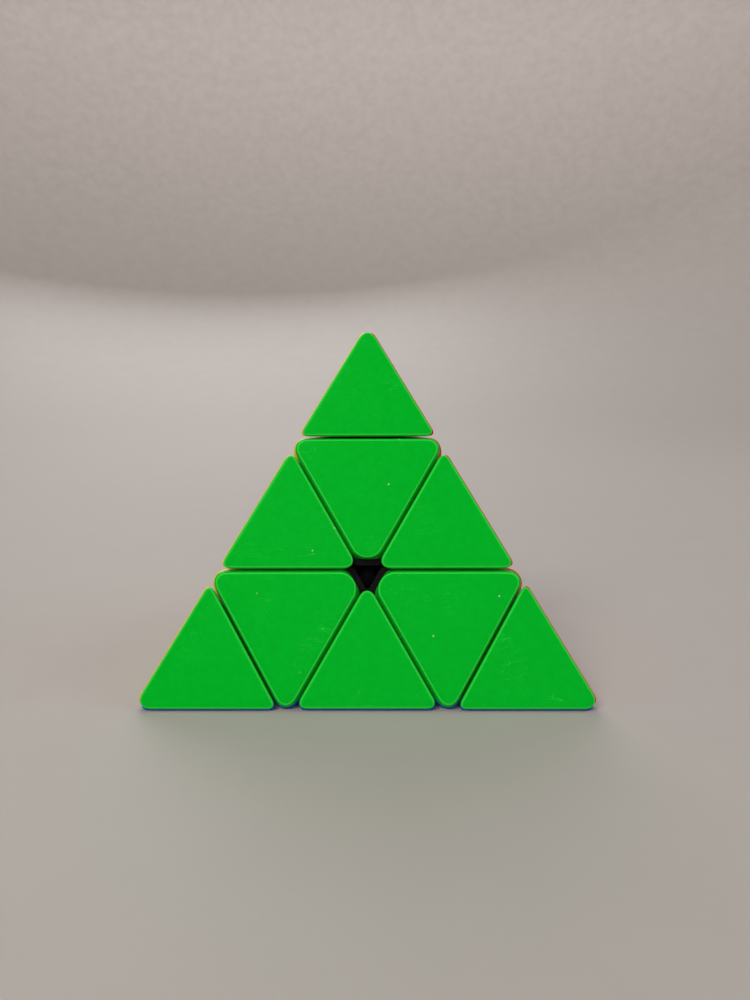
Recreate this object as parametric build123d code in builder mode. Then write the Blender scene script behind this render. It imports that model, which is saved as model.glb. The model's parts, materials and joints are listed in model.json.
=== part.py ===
"""Pyramid twisty puzzle: four turning corners, six edge pieces and four small tips on a sprung core."""
import os
from math import sqrt

from build123d import *

os.makedirs("parts", exist_ok=True)

# ---------------------------------------------------------------- overall sizes (mm)
edge_length = 102.0  # sharp edge of the whole pyramid, before the corners are rounded
layer_cut_shift = 0.37  # each layer cut stands this far out from the third of the edge
tip_cut_shift = 0.73  # each tip cut stands this far out from the third of the edge

# ---------------------------------------------------------------- clearances
piece_gap = 0.5  # between two pieces, on either side of a cut
shell_fit = 0.05  # coloured shell on its black body
seam_fit = 0.03  # each shell edge to the middle of a colour seam
running_clearance = 0.25  # between the curved faces that slide on each other
hub_clearance = 0.4  # between a foot and the hubs it swings past
bore_clearance = 0.05  # shaft in its bore
seat_clearance = 0.02  # between parts that rest on each other
end_clearance = 0.2  # end of a shaft to the bottom of its bore

# ---------------------------------------------------------------- coloured shells
shell_wall = 1.3
skirt_depth = 3.5
seam_inset = 0.4  # a plate stops this far short of the sharp edge
tip_base_radius = 1.5
tip_point_radius = 2.2
tip_rim_radius = 0.7
axial_corner_radius = 2.7
axial_nose_radius = 3.1
nose_reach = 3.3  # flat end of an axial plate, out from the middle of the face
axial_rim_radius = 0.8
fillet_share = 0.95  # a nose fillet takes at most this share of its wall
edge_inner_radius = 2.4
edge_outer_radius = 1.9
edge_rim_radius = 0.8
pocket_wall = 1.6
edge_pocket_depth = 9.0
axial_pocket_depth = 4.4

# ---------------------------------------------------------------- core and sliding feet
ball_radius = 10.2
seat_rise = 0.4  # flat seat of a hub, above the ball
hub_radius = 5.0
arm_radius = 3.2
foot_rise = 2.45  # how far a foot reaches past the root of its edge piece
foot_cut = 2.2  # planes that part neighbouring feet

# ---------------------------------------------------------------- screw, spring and washer
screw_radius = 1.25
screw_start = 6.0  # screw end above the centre
screw_head_radius = 3.3
screw_head_height = 1.6
screw_head_round = 0.4
recess_depth = 0.9
recess_width = 0.7
recess_length = 4.3
web_thickness = 1.5
well_radius = 4.0
washer_thickness = 0.5
spring_length = 6.7
coil_radius = 2.6
wire_radius = 0.25
spring_turns = 6.5

# ---------------------------------------------------------------- snap joint of a tip
stem_radius = 3.4
stem_bore_radius = 2.1
slot_width = 1.1
barb_height = 0.6
barb_lip = 0.5
groove_height = 2.0
collar_height = 3.7
head_room = 1.2
boss_rise = 0.4

# ---------------------------------------------------------------- sizes that follow from those
lean = 2 * sqrt(2) / 3  # a corner axis leans this far over a face, and a third along its normal
pyramid_height = edge_length * sqrt(2 / 3)
face_distance = pyramid_height / 4  # centre to each face
layer_cut = pyramid_height / 12 + layer_cut_shift
tip_cut = 5 * pyramid_height / 12 + tip_cut_shift
half_gap = piece_gap / 2
deep_face = face_distance - skirt_depth - shell_fit

axial_side_reach = (layer_cut - half_gap - face_distance / 3) / lean
nose_half_width = (axial_side_reach + nose_reach / 2) * 2 / sqrt(3)
nose_bend = sqrt((1 - lean / 2) / (1 + lean / 2))  # wall taken up by a nose fillet of radius 1
nose_round = min(axial_nose_radius, fillet_share * nose_half_width / nose_bend)

seat_height = ball_radius + seat_rise
foot_inner_radius = ball_radius + running_clearance
edge_root_radius = (layer_cut + half_gap) * sqrt(3)
foot_outer_radius = edge_root_radius + foot_rise
axial_underside_radius = foot_outer_radius + running_clearance

groove_top = tip_cut - half_gap - collar_height
groove_bottom = groove_top - groove_height
barb_radius = stem_radius + barb_height
groove_radius = barb_radius + end_clearance
boss_radius = (deep_face - tip_cut / 3) / lean - 2 * bore_clearance
head_top = groove_bottom - head_room
head_bottom = head_top - screw_head_height
washer_top = head_bottom - spring_length
washer_bottom = washer_top - washer_thickness
web_top = washer_bottom - seat_clearance
web_bottom = web_top - web_thickness
arm_length = web_bottom - end_clearance

# ---------------------------------------------------------------- directions
# The puzzle's own frame: Z runs up through the top corner, the green face looks along -Y.
corners = {
    "top": Vector(0, 0, 1),
    "left": Vector(-sqrt(6) / 3, -sqrt(2) / 3, -1 / 3),
    "right": Vector(sqrt(6) / 3, -sqrt(2) / 3, -1 / 3),
    "back": Vector(0, lean, -1 / 3),
}
opposite_corner = {"green": "back", "yellow": "right", "red": "left", "blue": "top"}
shell_colors = {
    "green": Color(0.02, 0.45, 0.03),
    "yellow": Color(0.85, 0.66, 0.0),
    "red": Color(0.7, 0.02, 0.01),
    "blue": Color(0.01, 0.09, 0.55),
}
black = Color(0.02, 0.02, 0.022)
steel = Color(0.55, 0.56, 0.58)

# A piece is modelled once with its corner straight up and one of its faces toward +X.
up = Vector(0, 0, 1)
plus = Vector(sqrt(2) / 3, sqrt(6) / 3, -1 / 3)
minus = Vector(sqrt(2) / 3, -sqrt(6) / 3, -1 / 3)
away = Vector(-lean, 0, -1 / 3)
outward = away * -1
edge_middle = (up + plus).normalized()
standing = (Align.CENTER, Align.CENTER, Align.MIN)  # bottom at the given height

seam_distance = face_distance - seam_inset * lean
# Each wall of a plate is written as a direction and how far out the wall stands along it.
tip_base = (up * -1, -tip_cut - half_gap)
axial_top = (up, tip_cut - half_gap)
axial_sides = ((plus, layer_cut - half_gap), (minus, layer_cut - half_gap))
axial_nose = ((outward / 3 - up).normalized(), -nose_reach)
edge_sides = ((up * -1, -layer_cut - half_gap), (plus * -1, -layer_cut - half_gap))
seams = ((plus * -1, seam_distance), (minus * -1, seam_distance))
axial_floor = (up * -1, -layer_cut - half_gap)
# Each corner of a plate is two of its walls and a radius.
tip_plate = (
    (tip_base, seams[0], tip_base_radius),
    (tip_base, seams[1], tip_base_radius),
    (seams[0], seams[1], tip_point_radius),
)
axial_plate = (
    (axial_top, axial_sides[0], axial_corner_radius),
    (axial_top, axial_sides[1], axial_corner_radius),
    (axial_nose, axial_sides[0], nose_round),
    (axial_nose, axial_sides[1], nose_round),
)
edge_plate = (
    (edge_sides[0], edge_sides[1], edge_inner_radius),
    (edge_sides[0], seams[1], edge_outer_radius),
    (edge_sides[1], seams[1], edge_outer_radius),
)


def block():
    """Start a piece as a block larger than the whole puzzle, to be cut down by planes."""
    Box(3 * edge_length, 3 * edge_length, 3 * edge_length)


def keep_inside(direction, distance):
    """Cut away whatever stands further out than this distance along the direction."""
    split(bisect_by=Plane(origin=direction * distance, z_dir=direction), keep=Keep.BOTTOM)


def seam_planes(kind):
    """Directions that a shell keeps clear of where it meets the next colour."""
    if kind == "edge":
        return ((outward + minus).normalized(),)
    return ((outward + plus).normalized(), (outward + minus).normalized())


def plate_heart(plate, inset, top, bottom):
    """Room inside a plate, an even distance in from its walls and rounded corners."""
    with BuildPart() as heart:
        block()
        keep_inside(outward, top)
        keep_inside(outward * -1, -bottom)
        keep_inside(plus * -1, face_distance - inset)
        keep_inside(minus * -1, face_distance - inset)
        for first, second, radius in plate:
            keep_inside(first[0], first[1] - inset)
            keep_inside(second[0], second[1] - inset)
            both = first[0] + second[0]
            reach = (first[1] + second[1] - 2 * radius) / both.length + radius
            keep_inside(both.normalized(), reach - inset)
    return heart.part


def coloured_shell(kind, plate, rim_radius):
    """One colour plate with its skirt: rounded corners, rounded rim, open underneath."""
    room = plate_heart(plate, shell_wall, face_distance - shell_wall, 0)
    with BuildPart() as shell:
        block()
        keep_inside(outward, face_distance)
        keep_inside(outward * -1, -(face_distance - skirt_depth))
        for first, second, _ in plate:
            keep_inside(*first)
            keep_inside(*second)
        for first, second, radius in plate:
            along = Axis((0, 0, 0), first[0].cross(second[0]))
            fillet(shell.edges().filter_by(along), radius)
        rim = shell.faces().sort_by(Axis((0, 0, 0), outward))[-1].edges()
        fillet(rim, rim_radius)
        add(room, mode=Mode.SUBTRACT)
        for direction in seam_planes(kind):
            keep_inside(direction * -1, -seam_fit)
    return shell.part


def body_spigot(plate):
    """The part of a black body that fills the room inside one shell."""
    inset = shell_wall + shell_fit
    return plate_heart(plate, inset, face_distance - inset, deep_face - shell_wall)


def body_pocket(plate, depth, kind):
    """Lightening pocket, hidden under a shell."""
    inset = shell_wall + shell_fit + pocket_wall
    pocket = plate_heart(plate, inset, face_distance, face_distance - depth)
    with BuildPart() as trimmed:
        add(pocket)
        for direction in seam_planes(kind):
            keep_inside(direction * -1, -pocket_wall / 2)
    return trimmed.part


def drill(radius, bottom, top):
    """Round hole along the corner's own axis."""
    with Locations((0, 0, bottom)):
        Cylinder(radius, top - bottom, align=standing, mode=Mode.SUBTRACT)


def turned(radius, bottom, top):
    """Round boss along the corner's own axis."""
    with Locations((0, 0, bottom)):
        Cylinder(radius, top - bottom, align=standing)


# ---------------------------------------------------------------- coloured shells, one of each kind
tip_shell = coloured_shell("tip", tip_plate, tip_rim_radius)
axial_shell = coloured_shell("axial", axial_plate, axial_rim_radius)
edge_shell = coloured_shell("edge", edge_plate, edge_rim_radius)

# ---------------------------------------------------------------- tip body with its snap stem
tip_spigot = body_spigot(tip_plate)
barb_low = groove_bottom + end_clearance
barb_high = groove_top - end_clearance
with BuildPart() as tip_body:
    block()
    for third in (0, 120, 240):
        keep_inside(outward.rotate(Axis.Z, third), deep_face)
    keep_inside(*tip_base)
    with PolarLocations(0, 3):
        add(tip_spigot)
    turned(stem_radius, barb_low, tip_cut + piece_gap)
    with BuildSketch(Plane.XZ):
        with BuildLine():
            Polyline(
                (stem_bore_radius, barb_low),
                (stem_radius - bore_clearance, barb_low),
                (barb_radius, barb_high - barb_lip),
                (barb_radius, barb_high),
                (stem_bore_radius, barb_high),
                close=True,
            )
        make_face()
    revolve(axis=Axis.Z)
    drill(stem_bore_radius, groove_bottom, tip_cut + piece_gap)
    with Locations((0, 0, groove_bottom)):
        Box(
            4 * barb_radius,
            slot_width,
            tip_cut - groove_bottom,
            align=standing,
            mode=Mode.SUBTRACT,
        )

# ---------------------------------------------------------------- axial body: hub, spring well, snap groove
axial_spigot = body_spigot(axial_plate)
axial_pocket = body_pocket(axial_plate, axial_pocket_depth, "axial")
with BuildPart() as axial_body:
    block()
    for third in (0, 120, 240):
        keep_inside(outward.rotate(Axis.Z, third), deep_face)
        keep_inside(away.rotate(Axis.Z, third), layer_cut - half_gap)
    keep_inside(*axial_top)
    keep_inside(*axial_floor)
    with PolarLocations(0, 3):
        add(axial_spigot)
    with PolarLocations(0, 3):
        add(axial_pocket, mode=Mode.SUBTRACT)
    Sphere(axial_underside_radius, mode=Mode.SUBTRACT)
    turned(hub_radius, seat_height, axial_underside_radius + web_thickness)
    turned(boss_radius, tip_cut - half_gap - shell_wall, tip_cut - half_gap + boss_rise)
    drill(arm_radius + bore_clearance, 0, web_bottom)
    drill(screw_radius + end_clearance, web_bottom, web_top)
    drill(well_radius, web_top, groove_bottom)
    drill(groove_radius, groove_bottom, groove_top)
    drill(stem_radius + bore_clearance, groove_top, tip_cut + half_gap)

# ---------------------------------------------------------------- edge body with its sliding foot
edge_spigot = body_spigot(edge_plate)
edge_pocket = body_pocket(edge_plate, edge_pocket_depth, "edge")
flip = Axis((0, 0, 0), edge_middle)
with BuildPart() as foot:
    Sphere(foot_outer_radius)
    Sphere(foot_inner_radius, mode=Mode.SUBTRACT)
    keep_inside(up * -1, -foot_cut)
    keep_inside(plus * -1, -foot_cut)
    keep_inside(minus, foot_cut - running_clearance)
    keep_inside(away, foot_cut - running_clearance)
    drill(hub_radius + hub_clearance, 0, 2 * foot_outer_radius)
    with Locations(Plane(origin=(0, 0, 0), z_dir=plus)):
        Cylinder(hub_radius + hub_clearance, 2 * foot_outer_radius, align=standing, mode=Mode.SUBTRACT)
with BuildPart() as edge_body:
    block()
    keep_inside(outward, deep_face)
    keep_inside(minus * -1, deep_face)
    keep_inside(*edge_sides[0])
    keep_inside(*edge_sides[1])
    add(edge_spigot)
    add(edge_spigot.rotate(flip, 180))
    add(edge_pocket, mode=Mode.SUBTRACT)
    add(edge_pocket.rotate(flip, 180), mode=Mode.SUBTRACT)
    add(foot.part)

# ---------------------------------------------------------------- core, screw, spring, washer


def corner_frame(corner, face):
    """Place a piece on this corner with its first face on this side of the pyramid."""
    axis = corners[corner]
    normal = corners[opposite_corner[face]] * -1
    return Plane(origin=(0, 0, 0), x_dir=normal - axis * normal.dot(axis), z_dir=axis).location


first_face = {"top": "green", "left": "green", "right": "green", "back": "yellow"}
corner_places = [corner_frame(corner, first_face[corner]) for corner in corners]
with BuildPart() as core:
    Sphere(ball_radius)
    with Locations(*corner_places):
        with Locations((0, 0, ball_radius / 2)):
            Cylinder(hub_radius, seat_height - ball_radius / 2, align=standing)
            Cylinder(arm_radius, arm_length - ball_radius / 2, align=standing)
        with Locations((0, 0, screw_start - end_clearance)):
            Cylinder(screw_radius + seat_clearance, arm_length, align=standing, mode=Mode.SUBTRACT)

with BuildPart() as screw:
    turned(screw_radius, screw_start, head_top)
    turned(screw_head_radius, head_bottom, head_top)
    fillet(screw.edges().group_by(Axis.Z)[-1], screw_head_round)
    with Locations((0, 0, head_top - recess_depth)):
        for turn in (0, 90):
            Box(
                recess_length,
                recess_width,
                2 * recess_depth,
                rotation=(0, 0, turn),
                align=standing,
                mode=Mode.SUBTRACT,
            )

with BuildPart() as washer:
    turned(well_radius - end_clearance, washer_bottom, washer_top)
    drill(screw_radius + end_clearance, washer_bottom, washer_top)

coil_height = spring_length - 2 * (wire_radius + seat_clearance)
coil_bottom = washer_top + wire_radius + seat_clearance
with BuildPart() as spring:
    with BuildLine(Plane(origin=(0, 0, coil_bottom))):
        coil = Helix(coil_height / spring_turns, coil_height, coil_radius)
    with BuildSketch(Plane(origin=coil @ 0, z_dir=coil % 0)):
        Circle(wire_radius)
    sweep(is_frenet=True)

# ---------------------------------------------------------------- the finished set


def save(piece, name, color):
    """Write one named component in its place on the puzzle."""
    piece.label = name
    piece.color = color
    export_step(piece, f"parts/{name}.step")
    finished.append(piece)


finished = []
faces_at = {
    corner: [face for face in opposite_corner if opposite_corner[face] != corner] for corner in corners
}
for corner in corners:
    home = corner_frame(corner, first_face[corner])
    for face in faces_at[corner]:
        place = corner_frame(corner, face)
        save(tip_shell.moved(place), f"{corner}_tip_{face}_shell", shell_colors[face])
        save(axial_shell.moved(place), f"{corner}_axial_{face}_shell", shell_colors[face])
    save(tip_body.part.moved(home), f"{corner}_tip_body", black)
    save(axial_body.part.moved(home), f"{corner}_axial_body", black)
    save(washer.part.moved(home), f"{corner}_spring_washer", steel)
    save(spring.part.moved(home), f"{corner}_spring", steel)

names = list(corners)
for first in range(4):
    for second in range(first + 1, 4):
        pair = (names[first], names[second])
        shared = [face for face in faces_at[pair[0]] if face in faces_at[pair[1]]]
        for face in shared:
            place = corner_frame(pair[0], face)
            side = Plane(place).y_dir.dot(corners[pair[1]])
            home = place if side > 0 else corner_frame(pair[1], face)
            save(edge_shell.moved(home), f"{pair[0]}_{pair[1]}_edge_{face}_shell", shell_colors[face])
        save(edge_body.part.moved(home), f"{pair[0]}_{pair[1]}_edge_body", black)

save(core.part, "core", black)
screws = Compound(children=[screw.part.moved(place) for place in corner_places])
save(screws, "core_screws", steel)
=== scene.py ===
import json
import math

import bmesh
import bpy
from mathutils import Matrix, Vector


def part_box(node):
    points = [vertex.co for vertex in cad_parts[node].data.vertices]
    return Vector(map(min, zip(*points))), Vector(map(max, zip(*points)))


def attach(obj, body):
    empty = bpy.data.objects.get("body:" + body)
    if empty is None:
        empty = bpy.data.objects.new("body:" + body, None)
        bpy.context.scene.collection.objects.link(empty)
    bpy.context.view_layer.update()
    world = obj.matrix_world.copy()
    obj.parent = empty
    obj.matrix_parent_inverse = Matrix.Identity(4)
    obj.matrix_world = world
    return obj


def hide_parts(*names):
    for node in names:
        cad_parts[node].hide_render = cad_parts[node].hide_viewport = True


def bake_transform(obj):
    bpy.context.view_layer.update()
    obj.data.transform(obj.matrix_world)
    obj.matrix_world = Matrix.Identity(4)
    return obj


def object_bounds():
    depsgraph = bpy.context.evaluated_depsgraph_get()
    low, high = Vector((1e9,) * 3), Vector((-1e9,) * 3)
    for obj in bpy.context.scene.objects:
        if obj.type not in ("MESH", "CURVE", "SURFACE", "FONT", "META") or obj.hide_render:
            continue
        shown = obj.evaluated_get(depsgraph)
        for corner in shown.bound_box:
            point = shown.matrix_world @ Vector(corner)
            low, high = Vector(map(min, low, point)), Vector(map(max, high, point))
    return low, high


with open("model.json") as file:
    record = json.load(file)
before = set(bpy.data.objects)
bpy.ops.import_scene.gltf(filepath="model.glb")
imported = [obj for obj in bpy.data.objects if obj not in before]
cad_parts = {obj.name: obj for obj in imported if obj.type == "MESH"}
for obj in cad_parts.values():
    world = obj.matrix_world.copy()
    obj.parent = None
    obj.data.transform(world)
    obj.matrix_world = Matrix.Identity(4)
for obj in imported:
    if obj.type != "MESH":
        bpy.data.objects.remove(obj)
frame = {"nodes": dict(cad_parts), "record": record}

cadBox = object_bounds()
record = frame["record"]
print("frame loaded:", len(frame["nodes"]), "nodes")

# where things are: the blue face lies on the floor, so its depth sets the whole pyramid
puzzle = {
    "faceDistance": -cadBox[0].z,  # centre to each face
    "layerShift": 0.00037,  # layer cuts, out from the third of the edge
    "tipShift": 0.00073,  # tip cuts, out from the third of the edge
    "gap": 0.0005,
    "seamInset": 0.0004,  # a plate stops this far short of the sharp edge
    "seamFit": 0.00003,
    "skirt": 0.0035,
}
lean = 2 * math.sqrt(2) / 3  # how far a corner axis leans over a face
slope = 1 / (3 * lean)  # how far a cut wall drifts sideways for each step of depth
corners = {
    "top": Vector((0, 0, 1)),
    "left": Vector((-math.sqrt(6) / 3, -math.sqrt(2) / 3, -1 / 3)),
    "right": Vector((math.sqrt(6) / 3, -math.sqrt(2) / 3, -1 / 3)),
    "back": Vector((0, lean, -1 / 3)),
}
oppositeCorner = {"green": "back", "yellow": "right", "red": "left", "blue": "top"}


def facesAt(corner):
    return [face for face in oppositeCorner if oppositeCorner[face] != corner]


def facePlace(corner, face):
    # turns a plate modelled with its face up (+Z) and its corner ahead (+Y) onto the puzzle
    normal = -corners[oppositeCorner[face]]
    ahead = (corners[corner] - normal * corners[corner].dot(normal)).normalized()
    side = ahead.cross(normal)
    return Matrix((side, ahead, normal)).transposed().to_4x4()


# shader groups shared by the plastics and metals
def newGroup(name, inputs, outputs):
    group = bpy.data.node_groups.new(name, "ShaderNodeTree")
    for socketName, kind, value in inputs:
        socket = group.interface.new_socket(socketName, in_out="INPUT", socket_type=kind)
        if value is not None:
            socket.default_value = value
    for socketName, kind in outputs:
        group.interface.new_socket(socketName, in_out="OUTPUT", socket_type=kind)
    return group, group.nodes.new("NodeGroupInput"), group.nodes.new("NodeGroupOutput")


def addNode(tree, kind, settings=None, values=None):
    node = tree.nodes.new(kind)
    for key, value in (settings or {}).items():
        setattr(node, key, value)
    for key, value in (values or {}).items():
        node.inputs[key].default_value = value
    return node


def mouldedGrainGroup():
    # fine spark-eroded grain of a moulding tool, over a very slow ripple in the plastic
    group, start, end = newGroup(
        "mouldedGrain",
        [("Vector", "NodeSocketVector", None), ("Grain Scale", "NodeSocketFloat", 4200.0),
         ("Ripple Scale", "NodeSocketFloat", 90.0), ("Ripple Share", "NodeSocketFloat", 0.35)],
        [("Height", "NodeSocketFloat"), ("Cloud", "NodeSocketFloat")],
    )
    link = group.links.new
    grain = addNode(group, "ShaderNodeTexNoise", values={"Detail": 3.0, "Roughness": 0.6})
    ripple = addNode(group, "ShaderNodeTexNoise", values={"Detail": 1.0, "Roughness": 0.4})
    cloud = addNode(group, "ShaderNodeTexNoise", values={"Scale": 620.0, "Detail": 4.0, "Roughness": 0.7})
    mix = addNode(group, "ShaderNodeMix", {"data_type": "FLOAT"})
    link(start.outputs["Vector"], grain.inputs["Vector"])
    link(start.outputs["Vector"], ripple.inputs["Vector"])
    link(start.outputs["Vector"], cloud.inputs["Vector"])
    link(start.outputs["Grain Scale"], grain.inputs["Scale"])
    link(start.outputs["Ripple Scale"], ripple.inputs["Scale"])
    link(start.outputs["Ripple Share"], mix.inputs[0])
    link(grain.outputs["Fac"], mix.inputs[2])
    link(ripple.outputs["Fac"], mix.inputs[3])
    link(mix.outputs[0], end.inputs["Height"])
    link(cloud.outputs["Fac"], end.inputs["Cloud"])
    return group


def handlingMarksGroup():
    # hairline scratches in two directions, and sparse pale specks of dust or chipped plastic
    group, start, end = newGroup(
        "handlingMarks",
        [("Vector", "NodeSocketVector", None), ("Speck Density", "NodeSocketFloat", 0.965),
         ("Scratch Amount", "NodeSocketFloat", 1.0)],
        [("Scratch", "NodeSocketFloat"), ("Speck", "NodeSocketFloat")],
    )
    link = group.links.new
    scratchMasks = []
    for turn, stretch, seed in ((0.5, 9.0, 0.0), (-0.9, 7.0, 3.7)):
        mapping = addNode(group, "ShaderNodeMapping", values={
            "Location": (seed, seed, seed), "Rotation": (turn, turn * 0.6, turn),
            "Scale": (1.0, stretch, stretch)})
        warp = addNode(group, "ShaderNodeTexNoise", values={"Scale": 38.0, "Detail": 2.0, "Distortion": 0.6})
        line = addNode(group, "ShaderNodeMath", {"operation": "PINGPONG"}, {1: 0.035})
        thin = addNode(group, "ShaderNodeMapRange", values={
            "From Min": 0.0, "From Max": 0.0011, "To Min": 1.0, "To Max": 0.0})
        patchy = addNode(group, "ShaderNodeTexNoise", values={"Scale": 120.0, "Detail": 1.0})
        patch = addNode(group, "ShaderNodeMapRange", values={
            "From Min": 0.56, "From Max": 0.66, "To Min": 0.0, "To Max": 1.0})
        both = addNode(group, "ShaderNodeMath", {"operation": "MULTIPLY"})
        link(start.outputs["Vector"], mapping.inputs["Vector"])
        link(mapping.outputs["Vector"], warp.inputs["Vector"])
        link(start.outputs["Vector"], patchy.inputs["Vector"])
        link(warp.outputs["Fac"], line.inputs[0])
        link(line.outputs[0], thin.inputs["Value"])
        link(patchy.outputs["Fac"], patch.inputs["Value"])
        link(thin.outputs[0], both.inputs[0])
        link(patch.outputs[0], both.inputs[1])
        scratchMasks.append(both)
    widest = addNode(group, "ShaderNodeMath", {"operation": "MAXIMUM"})
    scaled = addNode(group, "ShaderNodeMath", {"operation": "MULTIPLY", "use_clamp": True})
    link(scratchMasks[0].outputs[0], widest.inputs[0])
    link(scratchMasks[1].outputs[0], widest.inputs[1])
    link(widest.outputs[0], scaled.inputs[0])
    link(start.outputs["Scratch Amount"], scaled.inputs[1])
    cells = addNode(group, "ShaderNodeTexVoronoi", values={"Scale": 420.0, "Randomness": 1.0})
    dot = addNode(group, "ShaderNodeMapRange", values={
        "From Min": 0.05, "From Max": 0.11, "To Min": 1.0, "To Max": 0.0})
    few = addNode(group, "ShaderNodeMath", {"operation": "GREATER_THAN"})
    split = addNode(group, "ShaderNodeSeparateColor")
    speck = addNode(group, "ShaderNodeMath", {"operation": "MULTIPLY"})
    link(start.outputs["Vector"], cells.inputs["Vector"])
    link(cells.outputs["Distance"], dot.inputs["Value"])
    link(cells.outputs["Color"], split.inputs["Color"])
    link(split.outputs["Red"], few.inputs[0])
    link(start.outputs["Speck Density"], few.inputs[1])
    link(dot.outputs[0], speck.inputs[0])
    link(few.outputs[0], speck.inputs[1])
    link(scaled.outputs[0], end.inputs["Scratch"])
    link(speck.outputs[0], end.inputs["Speck"])
    return group


grainGroup = mouldedGrainGroup()
marksGroup = handlingMarksGroup()


def newMaterial(name):
    material = bpy.data.materials.new(name)
    material.use_nodes = True
    tree = material.node_tree
    shader = tree.nodes["Principled BSDF"]
    place = tree.nodes.new("ShaderNodeTexCoord")
    return material, tree, shader, place.outputs["Object"]


def placeGroup(tree, group, vector, values):
    node = tree.nodes.new("ShaderNodeGroup")
    node.node_tree = group
    for key, value in values.items():
        node.inputs[key].default_value = value
    tree.links.new(vector, node.inputs["Vector"])
    return node


def mixColour(tree, mask, first, second):
    mix = addNode(tree, "ShaderNodeMix", {"data_type": "RGBA"})
    tree.links.new(mask, mix.inputs[0])
    for value, socket in ((first, mix.inputs[6]), (second, mix.inputs[7])):
        if isinstance(value, tuple):
            socket.default_value = value
        else:
            tree.links.new(value, socket)
    return mix.outputs[2]


def mixValue(tree, mask, first, second):
    mix = addNode(tree, "ShaderNodeMix", {"data_type": "FLOAT"})
    tree.links.new(mask, mix.inputs[0])
    for value, socket in ((first, mix.inputs[2]), (second, mix.inputs[3])):
        if isinstance(value, float):
            socket.default_value = value
        else:
            tree.links.new(value, socket)
    return mix.outputs[0]


def ramp(tree, value, low, high):
    node = addNode(tree, "ShaderNodeMapRange", values={"From Min": low, "From Max": high})
    tree.links.new(value, node.inputs["Value"])
    return node.outputs[0]


def scaleMask(tree, mask, share):
    node = addNode(tree, "ShaderNodeMath", {"operation": "MULTIPLY"}, {1: share})
    tree.links.new(mask, node.inputs[0])
    return node.outputs[0]


def addBump(tree, shader, relief, look):
    bump = addNode(tree, "ShaderNodeBump", values={
        "Strength": look["grainStrength"], "Distance": look["grainDepth"]})
    tree.links.new(relief, bump.inputs["Height"])
    tree.links.new(bump.outputs["Normal"], shader.inputs["Normal"])


shellLook = {
    "green": {"body": (0.0, 0.51, 0.022, 1), "deep": (0.0, 0.47, 0.018, 1), "shine": (0.12, 1.0, 0.25, 1)},
    "yellow": {"body": (0.88, 0.64, 0.004, 1), "deep": (0.84, 0.58, 0.003, 1), "shine": (1.0, 0.92, 0.35, 1)},
    "red": {"body": (0.64, 0.008, 0.006, 1), "deep": (0.58, 0.006, 0.005, 1), "shine": (1.0, 0.35, 0.32, 1)},
    "blue": {"body": (0.004, 0.085, 0.58, 1), "deep": (0.003, 0.072, 0.52, 1), "shine": (0.35, 0.55, 1.0, 1)},
    "specular": 0.16,
    "rough": 0.40,
    "roughLess": 0.03,  # how far the roughness drifts each way over a surface
    "roughMore": 0.04,
    "rubbedRough": 0.28,  # rims are polished by handling
    "scratchRough": 0.6,
    "dust": (0.72, 0.74, 0.66, 1),
    "highlightAndScratchGain": 1.7,  # pale colour for the painted highlight along the rims and for scratched plastic
    "highlightAndScratchLift": 0.07,
    # painted highlight: how much of the pale colour goes into the band along every rim
    "paintedHighlightShare": 0.75,
    "dustShare": 0.05,
    "scratchShare": 0.45,
    "speckShare": 0.55,
    "grainStrength": 0.5,
    "grainDepth": 0.000014,
}


def shellMaterial(face):
    look = shellLook[face]
    material, tree, shader, vector = newMaterial(f"{face}Plastic")
    link = tree.links.new
    grain = placeGroup(tree, grainGroup, vector, {"Grain Scale": 3600.0, "Ripple Share": 0.3})
    marks = placeGroup(tree, marksGroup, vector, {"Speck Density": 0.955, "Scratch Amount": 1.0})
    rim = addNode(tree, "ShaderNodeAttribute", {"attribute_name": "rim"})
    depth = addNode(tree, "ShaderNodeAttribute", {"attribute_name": "depth"})
    cloud = ramp(tree, grain.outputs["Cloud"], 0.35, 0.65)
    gain, lift = shellLook["highlightAndScratchGain"], shellLook["highlightAndScratchLift"]
    paleHighlightAndScratch = tuple(min(1.0, channel * gain + lift) for channel in look["body"][:3]) + (1,)
    colour = mixColour(tree, cloud, look["deep"], look["body"])
    # the rim band paints a highlight; dust, scratches and specks are the plastic's own marks
    for mask, share, over in (
        (rim.outputs["Fac"], shellLook["paintedHighlightShare"], paleHighlightAndScratch),
        (depth.outputs["Fac"], shellLook["dustShare"], shellLook["dust"]),
        (marks.outputs["Scratch"], shellLook["scratchShare"], paleHighlightAndScratch),
        (marks.outputs["Speck"], shellLook["speckShare"], shellLook["dust"]),
    ):
        colour = mixColour(tree, scaleMask(tree, mask, share), colour, over)
    link(colour, shader.inputs["Base Color"])
    rough = shellLook["rough"]
    rough = mixValue(tree, cloud, rough - shellLook["roughLess"], rough + shellLook["roughMore"])
    rough = mixValue(tree, rim.outputs["Fac"], rough, shellLook["rubbedRough"])
    rough = mixValue(tree, marks.outputs["Scratch"], rough, shellLook["scratchRough"])
    link(rough, shader.inputs["Roughness"])
    addBump(tree, shader, grain.outputs["Height"], shellLook)
    shader.inputs["IOR"].default_value = 1.5
    shader.inputs["Specular IOR Level"].default_value = shellLook["specular"]
    shader.inputs["Specular Tint"].default_value = look["shine"]
    return material


innerLook = {
    "black": (0.0028, 0.0028, 0.003, 1),
    "worn": (0.005, 0.005, 0.0054, 1),
    "dust": (0.09, 0.085, 0.08, 1),
    "rough": 0.50,
    "roughDrift": 0.08,
    "specular": 0.08,
    "speckShare": 0.5,
    "grainStrength": 0.5,
    "grainDepth": 0.00002,
}


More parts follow.
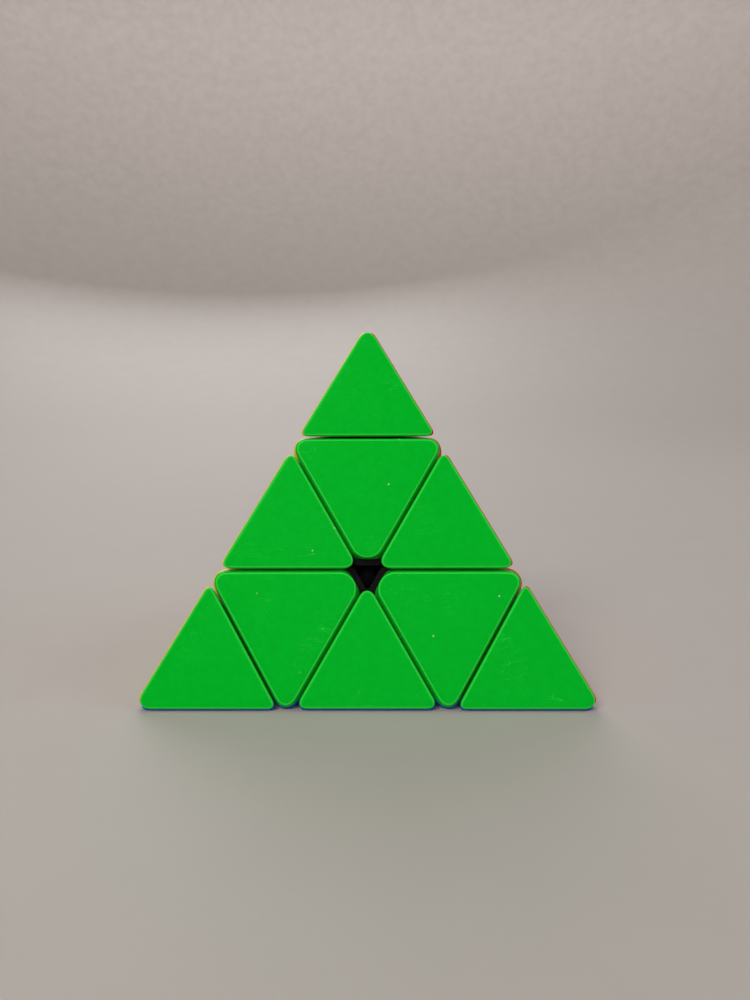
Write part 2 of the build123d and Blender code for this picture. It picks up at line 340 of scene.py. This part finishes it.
def innerMaterial():
    material, tree, shader, vector = newMaterial("blackPlastic")
    link = tree.links.new
    grain = placeGroup(tree, grainGroup, vector, {"Grain Scale": 2600.0, "Ripple Share": 0.2})
    marks = placeGroup(tree, marksGroup, vector, {"Speck Density": 0.95, "Scratch Amount": 1.0})
    cloud = ramp(tree, grain.outputs["Cloud"], 0.3, 0.7)
    colour = mixColour(tree, cloud, innerLook["black"], innerLook["worn"])
    colour = mixColour(tree, marks.outputs["Scratch"], colour, innerLook["worn"])
    specks = scaleMask(tree, marks.outputs["Speck"], innerLook["speckShare"])
    link(mixColour(tree, specks, colour, innerLook["dust"]), shader.inputs["Base Color"])
    rough, drift = innerLook["rough"], innerLook["roughDrift"]
    link(mixValue(tree, cloud, rough - drift, rough + drift), shader.inputs["Roughness"])
    shader.inputs["Specular IOR Level"].default_value = innerLook["specular"]
    addBump(tree, shader, grain.outputs["Height"], innerLook)
    return material


steelLook = {
    "bright": (0.62, 0.62, 0.64, 1),
    "dull": (0.42, 0.42, 0.43, 1),
    "rough": 0.28,
    "dullRougher": 0.12,
    "scratchRough": 0.55,
    "grainStrength": 0.4,
    "grainDepth": 0.00001,
}


def steelMaterial():
    material, tree, shader, vector = newMaterial("zincPlatedSteel")
    link = tree.links.new
    grain = placeGroup(tree, grainGroup, vector, {"Grain Scale": 5200.0, "Ripple Share": 0.5})
    marks = placeGroup(tree, marksGroup, vector, {"Speck Density": 0.97, "Scratch Amount": 1.0})
    cloud = ramp(tree, grain.outputs["Cloud"], 0.3, 0.7)
    link(mixColour(tree, cloud, steelLook["dull"], steelLook["bright"]), shader.inputs["Base Color"])
    rough = mixValue(tree, cloud, steelLook["rough"] + steelLook["dullRougher"], steelLook["rough"])
    rough = mixValue(tree, marks.outputs["Scratch"], rough, steelLook["scratchRough"])
    link(rough, shader.inputs["Roughness"])
    addBump(tree, shader, grain.outputs["Height"], steelLook)
    shader.inputs["Metallic"].default_value = 1.0
    return material


finishes = {f"{face}_plastic": shellMaterial(face) for face in oppositeCorner}
finishes["black_plastic"] = innerMaterial()
finishes["steel"] = steelMaterial()
print("materials made:", len(finishes))

# coloured shells: one of each kind, modelled face up, then copied round the puzzle
edgeLength = 4 * puzzle["faceDistance"] / math.sqrt(2 / 3)
height = 4 * puzzle["faceDistance"]
seamLine = edgeLength / (2 * math.sqrt(3)) - puzzle["seamInset"]
halfGap = puzzle["gap"] / 2


def lineOnFace(cut):
    # where a cut square to a corner axis crosses the face, measured from the face's middle
    return (cut - puzzle["faceDistance"] / 3) / lean


layerCut = height / 12 + puzzle["layerShift"]
tipCut = 5 * height / 12 + puzzle["tipShift"]
ahead, right, left = Vector((0, 1)), Vector((math.sqrt(3) / 2, -0.5)), Vector((-math.sqrt(3) / 2, -0.5))
# each wall is a direction and how far out it stands; each corner is two walls and its radius
plates = {
    "tip": {
        "walls": ((-ahead, -lineOnFace(tipCut + halfGap)), (-left, seamLine), (-right, seamLine)),
        "corners": ((0, 1, 0.0015), (0, 2, 0.0015), (1, 2, 0.00268)),
        "rim": 0.0007,
        "wall": 0.0011,
        "drift": -slope,
        "crown": 0.00010,
        "seams": (-left, -right),
    },
    "axial": {
        "walls": ((ahead, lineOnFace(tipCut - halfGap)), (right, lineOnFace(layerCut - halfGap)),
                  (left, lineOnFace(layerCut - halfGap)), (-ahead, -0.0033)),
        "corners": ((0, 1, 0.0027), (0, 2, 0.0027), (1, 3, 0.0031), (2, 3, 0.0031)),
        "rim": 0.0008,
        "wall": 0.0013,
        "drift": slope,
        "crown": 0.00013,
        "seams": (-left, -right),
    },
    "edge": {
        "walls": ((-left, seamLine), (-ahead, -lineOnFace(layerCut + halfGap)),
                  (-right, -lineOnFace(layerCut + halfGap))),
        "corners": ((1, 2, 0.0024), (0, 1, 0.0019), (0, 2, 0.0019)),
        "rim": 0.0008,
        "wall": 0.0013,
        "drift": -slope,
        "crown": 0.00010,
        "seams": (-left,),
    },
}
plateMesh = {
    "slanted": 3,  # the first walls lean as a cut or a seam does, and any after them stand upright
    "cornerSegments": 9,
    "rimSegments": 7,
    "crownRings": ((0.93, 0.14), (0.80, 0.36), (0.60, 0.64), (0.35, 0.88)),  # size and rise of each
    "smoothAngle": 32,
    "nearTop": 0.00001,
    "nearBottom": 0.0001,
    "highlightBandDepth": 0.14,  # where the painted highlight band sits below the crown, as a share of the rim
    "dustStart": 0.25,  # as a share of the skirt
}


def editSelect(mesh, mode, test):
    # selects the edges or faces that pass the test, while in edit mode
    bpy.ops.mesh.select_mode(type=mode)
    bpy.ops.mesh.select_all(action="DESELECT")
    shape = bmesh.from_edit_mesh(mesh)
    for part in {"EDGE": shape.edges, "FACE": shape.faces}[mode]:
        if test(part):
            part.select_set(True)
    shape.select_flush_mode()
    bmesh.update_edit_mesh(mesh)


def leaning(spec, index):
    # the wall's true direction out of the plate
    wall = spec["walls"][index][0]
    if index >= plateMesh["slanted"]:
        return Vector((*wall, 0))
    return Vector((*(wall * lean), math.copysign(1 / 3, spec["drift"])))


def meets(edge, pair):
    # true for the upright edge where the two given walls meet
    facing = [face.normal.xy.normalized() for face in edge.link_faces if abs(face.normal.z) < 0.6]
    return len(facing) == 2 and all(max(side.dot(wall) for side in facing) > 0.99 for wall in pair)


def makePlate(kind):
    spec = plates[kind]
    top = puzzle["faceDistance"]
    bottom = top - puzzle["skirt"]
    main = spec["walls"][:plateMesh["slanted"]]
    inner = sum(reach for _, reach in main) / 3
    middle = sum((wall * reach for wall, reach in main), Vector((0, 0))) * 2 / 3
    innerBelow = inner + spec["drift"] * puzzle["skirt"]
    point = -main[0][0]  # the corner opposite the first wall
    bpy.ops.object.select_all(action="DESELECT")
    bpy.ops.mesh.primitive_circle_add(
        vertices=3, radius=2 * innerBelow, fill_type="NGON", location=(middle.x, middle.y, bottom),
        rotation=(0, 0, math.atan2(point.y, point.x) - math.pi / 2))
    plate = bpy.context.object
    plate.name = f"{kind}_plate"
    bpy.ops.object.transform_apply(location=True, rotation=True, scale=True)
    bpy.ops.object.mode_set(mode="EDIT")
    mesh = plate.data
    bpy.ops.mesh.select_all(action="SELECT")
    bpy.ops.mesh.extrude_region_move(TRANSFORM_OT_translate={"value": (0, 0, puzzle["skirt"])})
    grow = inner / innerBelow
    bpy.ops.transform.resize(value=(grow, grow, 1), center_override=(middle.x, middle.y, top))
    for wall, reach in spec["walls"][plateMesh["slanted"]:]:
        bpy.ops.mesh.select_all(action="SELECT")
        bpy.ops.mesh.bisect(
            plane_co=(*(wall * reach), top), plane_no=(*wall, 0), use_fill=True, clear_outer=True)
    bpy.ops.mesh.select_all(action="SELECT")
    bpy.ops.mesh.normals_make_consistent(inside=False)
    for first, second, radius in spec["corners"]:
        pair = (spec["walls"][first][0], spec["walls"][second][0])
        editSelect(mesh, "EDGE", lambda edge: meets(edge, pair))
        bend = leaning(spec, first).angle(leaning(spec, second))
        bpy.ops.mesh.bevel(
            affect="EDGES", offset=radius * math.tan(bend / 2), segments=plateMesh["cornerSegments"],
            profile=0.5, clamp_overlap=False)
    nearBottom, nearTop = bottom + plateMesh["nearBottom"], top - plateMesh["nearTop"]
    editSelect(mesh, "FACE", lambda face: all(vert.co.z < nearBottom for vert in face.verts))
    bpy.ops.mesh.delete(type="FACE")
    bpy.ops.mesh.select_all(action="SELECT")
    bpy.ops.mesh.normals_make_consistent(inside=False)
    bpy.ops.object.mode_set(mode="OBJECT")
    thicken = plate.modifiers.new("wall", "SOLIDIFY")
    thicken.thickness = spec["wall"]
    thicken.offset = -1
    thicken.use_even_offset = True
    bpy.ops.object.modifier_apply(modifier="wall")
    bpy.ops.object.mode_set(mode="EDIT")
    editSelect(mesh, "EDGE", lambda edge: all(vert.co.z > nearTop for vert in edge.verts))
    rimBend = leaning(spec, 0).angle(Vector((0, 0, 1)))
    bpy.ops.mesh.bevel(
        affect="EDGES", offset=spec["rim"] * math.tan(rimBend / 2), segments=plateMesh["rimSegments"],
        profile=0.5, clamp_overlap=False)
    editSelect(mesh, "FACE", lambda face: all(vert.co.z > nearTop for vert in face.verts))
    size = 1.0
    rise = 0.0
    for nextSize, nextRise in plateMesh["crownRings"]:
        shrink = nextSize / size
        lift = (nextRise - rise) * spec["crown"]
        bpy.ops.mesh.extrude_region_move(TRANSFORM_OT_translate={"value": (0, 0, lift)})
        bpy.ops.transform.resize(value=(shrink, shrink, 1), center_override=(middle.x, middle.y, top))
        size, rise = nextSize, nextRise
    for seam in spec["seams"]:
        # the neighbouring face's normal, seen in this plate's own axes
        neighbour = Vector((seam.x * lean, seam.y * lean, -1 / 3))
        away = (neighbour - Vector((0, 0, 1))).normalized()
        bpy.ops.mesh.select_all(action="SELECT")
        bpy.ops.mesh.bisect(
            plane_co=away * -puzzle["seamFit"], plane_no=away, use_fill=True, clear_outer=True)
    bpy.ops.mesh.select_all(action="SELECT")
    bpy.ops.transform.translate(value=(0, 0, -rise * spec["crown"]))
    bpy.ops.mesh.normals_make_consistent(inside=False)
    bpy.ops.object.mode_set(mode="OBJECT")
    bpy.ops.object.shade_smooth_by_angle(angle=math.radians(plateMesh["smoothAngle"]))
    highest = max(vert.co.z for vert in mesh.vertices)
    # rim: the band just below the crown where a highlight is painted and the roughness drops
    rimMask = mesh.attributes.new("rim", "FLOAT", "POINT")
    depthMask = mesh.attributes.new("depth", "FLOAT", "POINT")
    highlightDepth = plateMesh["highlightBandDepth"]
    for vert in mesh.vertices:
        below = (highest - spec["crown"] - vert.co.z) / spec["rim"]
        rimMask.data[vert.index].value = max(0.0, 1 - abs(below - highlightDepth) / highlightDepth)
        deep = (highest - vert.co.z) / puzzle["skirt"] - plateMesh["dustStart"]
        depthMask.data[vert.index].value = min(1.0, max(0.0, deep))
    print("plate modelled:", kind, len(mesh.polygons), "faces")
    return plate


models = {kind: makePlate(kind) for kind in plates}
bodyOf = {node: body for body, nodes in record["behaviour"]["bodies"].items() for node in nodes}


def placeCopy(model, name, turn, finish):
    # one copy with its own mesh, turned onto its place on the puzzle
    piece = model.copy()
    piece.data = model.data.copy()
    piece.name = name
    bpy.context.scene.collection.objects.link(piece)
    piece.data.transform(turn)
    piece.data.materials.clear()
    piece.data.materials.append(finish)
    return piece


def placePlate(kind, node, corner, face):
    name = node.replace("_shell", "_cap")
    piece = placeCopy(models[kind], name, facePlace(corner, face), finishes[f"{face}_plastic"])
    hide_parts(node)
    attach(piece, bodyOf[node])


for corner in corners:
    for face in facesAt(corner):
        placePlate("tip", f"{corner}_tip_{face}_shell", corner, face)
        placePlate("axial", f"{corner}_axial_{face}_shell", corner, face)

names = list(corners)
for first in names:
    for second in names[names.index(first) + 1:]:
        shared = [face for face in facesAt(first) if face in facesAt(second)]
        for face in shared:
            # the plate is modelled on the right of its corner, so the corner is the one whose
            # neighbour stands on its right
            rightward = facePlace(first, face).to_3x3().col[0]
            corner = first if rightward.dot(corners[second]) > 0 else second
            placePlate("edge", f"{first}_{second}_edge_{face}_shell", corner, face)
for model in models.values():
    bpy.data.objects.remove(model)
print("shells placed")

# springs: coiled wire between the screw head and the washer
springLook = {
    "wire": 0.00025,  # radius
    "wireSides": 12,
    "turns": 6.5,
    "stepsPerTurn": 30,
    "smoothAngle": 50,
}
springLow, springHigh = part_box("top_spring")
coil = {
    "radius": (springHigh.x - springLow.x) / 2 - springLook["wire"],
    "bottom": springLow.z + springLook["wire"],
    "top": springHigh.z - springLook["wire"],
}
bpy.ops.object.select_all(action="DESELECT")
bpy.ops.mesh.primitive_circle_add(
    vertices=springLook["wireSides"], radius=springLook["wire"], fill_type="NGON",
    rotation=(math.radians(90), 0, 0), location=(coil["radius"], 0, coil["bottom"]))
springModel = bpy.context.object
bpy.ops.object.transform_apply(location=True, rotation=True, scale=True)
winding = springModel.modifiers.new("winding", "SCREW")
winding.angle = math.radians(360) * springLook["turns"]
winding.screw_offset = coil["top"] - coil["bottom"]
winding.steps = int(springLook["turns"] * springLook["stepsPerTurn"])
winding.render_steps = winding.steps
winding.use_normal_calculate = True
bpy.ops.object.modifier_apply(modifier="winding")
bpy.ops.object.mode_set(mode="EDIT")
bpy.ops.mesh.select_all(action="SELECT")
bpy.ops.mesh.normals_make_consistent(inside=False)
bpy.ops.object.mode_set(mode="OBJECT")
bpy.ops.object.shade_smooth_by_angle(angle=math.radians(springLook["smoothAngle"]))
for corner, axis in corners.items():
    turn = Vector((0, 0, 1)).rotation_difference(axis).to_matrix().to_4x4()
    piece = placeCopy(springModel, f"{corner}_coil", turn, finishes["steel"])
    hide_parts(f"{corner}_spring")
    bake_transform(piece)
bpy.data.objects.remove(springModel)
print("springs wound")

# inner pieces keep their CAD shape and get their own finish
slotOf = {entry["node"]: entry["material_slot"] for entry in record["subparts"]}
for node, piece in frame["nodes"].items():
    piece.data.materials.clear()
    piece.data.materials.append(finishes[slotOf[node]])

# floor, light, camera
stageLook = {
    "flatRadius": 0.55,
    "sides": 96,
    "below": 0.00003,  # keeps the floor clear of the blue face
    "sweep": 0.9,  # how far the floor curves up beyond its flat part
    "sweepSteps": 12,
    "wallTop": 1.7,
    "floor": (0.42, 0.40, 0.38, 1),
    "wall": (0.84, 0.785, 0.76, 1),
    "fadeHeight": 0.7,  # where the floor colour has gone over to the wall's; the fade up the wall is painted light, making up for the sky light the wall misses
    "mottle": (0.38, 0.36, 0.34, 1),
    "mottleRange": (-1.5, 0.65),
    "rough": 0.7,
    "smoothAngle": 30,
    "sky": (0.95, 0.96, 1.0, 1),
    "skyStrength": 1.0,
}
bpy.ops.object.select_all(action="DESELECT")
bpy.ops.mesh.primitive_circle_add(
    vertices=stageLook["sides"], radius=stageLook["flatRadius"], fill_type="NGON",
    location=(0, 0, cadBox[0].z - stageLook["below"]))
floor = bpy.context.object
floor.name = "floor"
bpy.ops.object.transform_apply(location=True, rotation=True, scale=True)
bpy.ops.object.mode_set(mode="EDIT")
editSelect(floor.data, "EDGE", lambda edge: edge.is_boundary)
reach, rise = stageLook["flatRadius"], 0.0
for step in range(1, stageLook["sweepSteps"] + 1):
    bend = math.radians(90) * step / stageLook["sweepSteps"]
    nextReach = stageLook["flatRadius"] + stageLook["sweep"] * math.sin(bend)
    nextRise = stageLook["sweep"] * (1 - math.cos(bend))
    bpy.ops.mesh.extrude_region_move(TRANSFORM_OT_translate={"value": (0, 0, nextRise - rise)})
    grow = nextReach / reach
    bpy.ops.transform.resize(value=(grow, grow, 1), center_override=(0, 0, cadBox[0].z))
    reach, rise = nextReach, nextRise
bpy.ops.mesh.extrude_region_move(TRANSFORM_OT_translate={"value": (0, 0, stageLook["wallTop"] - rise)})
bpy.ops.mesh.select_all(action="SELECT")
bpy.ops.mesh.normals_make_consistent(inside=True)
bpy.ops.object.mode_set(mode="OBJECT")
bpy.ops.object.shade_smooth_by_angle(angle=math.radians(stageLook["smoothAngle"]))
floorMaterial, floorTree, floorShader, floorVector = newMaterial("paleFloor")
floorNoise = addNode(floorTree, "ShaderNodeTexNoise", values={"Scale": 60.0, "Detail": 5.0})
floorTree.links.new(floorVector, floorNoise.inputs["Vector"])
floorAxes = addNode(floorTree, "ShaderNodeSeparateXYZ")
floorTree.links.new(floorVector, floorAxes.inputs[0])
# the darker floor and the paler wall are their own colours, and the brightening with height is painted light
paintedLightByHeight = ramp(floorTree, floorAxes.outputs["Z"], 0.0, stageLook["fadeHeight"])
floorColour = mixColour(floorTree, paintedLightByHeight, stageLook["floor"], stageLook["wall"])
mottle = ramp(floorTree, floorNoise.outputs["Fac"], *stageLook["mottleRange"])
floorColour = mixColour(floorTree, mottle, stageLook["mottle"], floorColour)
floorTree.links.new(floorColour, floorShader.inputs["Base Color"])
floorShader.inputs["Roughness"].default_value = stageLook["rough"]
floor.data.materials.append(floorMaterial)

world = bpy.data.worlds.new("studio")
bpy.context.scene.world = world
world.use_nodes = True
world.node_tree.nodes["Background"].inputs["Color"].default_value = stageLook["sky"]
world.node_tree.nodes["Background"].inputs["Strength"].default_value = stageLook["skyStrength"]

lamps = {
    "key": {"place": (-0.40, -0.50, 0.62), "size": 0.35, "power": 3.8, "tint": (1.0, 0.97, 0.93)},
    "front": {"place": (0.10, -0.85, 0.22), "size": 0.55, "power": 1.6, "tint": (1.0, 1.0, 1.0)},
    "side": {"place": (0.75, -0.1, 0.45), "size": 0.6, "power": 1.8, "tint": (0.95, 0.97, 1.0)},
    "back": {"place": (-0.2, 0.80, 0.60), "size": 0.7, "power": 3.5, "tint": (1.0, 1.0, 1.0)},
    "backdrop": {
        "place": (0, 0.35, 1.1), "aim": (0, 1.45, 0.40), "size": 0.8, "power": 3.3,
        "tint": (1.0, 0.96, 0.95)},
}
for name, lamp in lamps.items():
    lightData = bpy.data.lights.new(name, "AREA")
    lightData.size = lamp["size"]
    lightData.energy = lamp["power"]
    lightData.color = lamp["tint"]
    light = bpy.data.objects.new(name, lightData)
    light.location = lamp["place"]
    aim = Vector(lamp.get("aim", (0, 0, 0))) - Vector(lamp["place"])
    light.rotation_euler = aim.to_track_quat("-Z", "Y").to_euler()
    bpy.context.scene.collection.objects.link(light)

cameraPlace = {
    "spot": (0.002839, -0.17169, 0.049155),
    "tilt": -9.755,  # degrees above the horizon
    "turn": -0.411,  # degrees to the right of straight ahead
    "roll": -0.166,
    "focal": 25.99,
    "sensor": 36.0,
    "nearest": 0.005,
}
cameraData = bpy.data.cameras.new("camera")
cameraData.lens = cameraPlace["focal"]
cameraData.sensor_width = cameraPlace["sensor"]
cameraData.clip_start = cameraPlace["nearest"]
camera = bpy.data.objects.new("camera", cameraData)
camera.location = cameraPlace["spot"]
camera.rotation_euler = (
    Matrix.Rotation(math.radians(-cameraPlace["turn"]), 3, "Z")
    @ Matrix.Rotation(math.radians(90 + cameraPlace["tilt"]), 3, "X")
    @ Matrix.Rotation(math.radians(cameraPlace["roll"]), 3, "Z")
).to_euler()
bpy.context.scene.collection.objects.link(camera)
bpy.context.scene.camera = camera
bpy.context.scene.view_settings.view_transform = "Standard"
print("floor, lights and camera set")
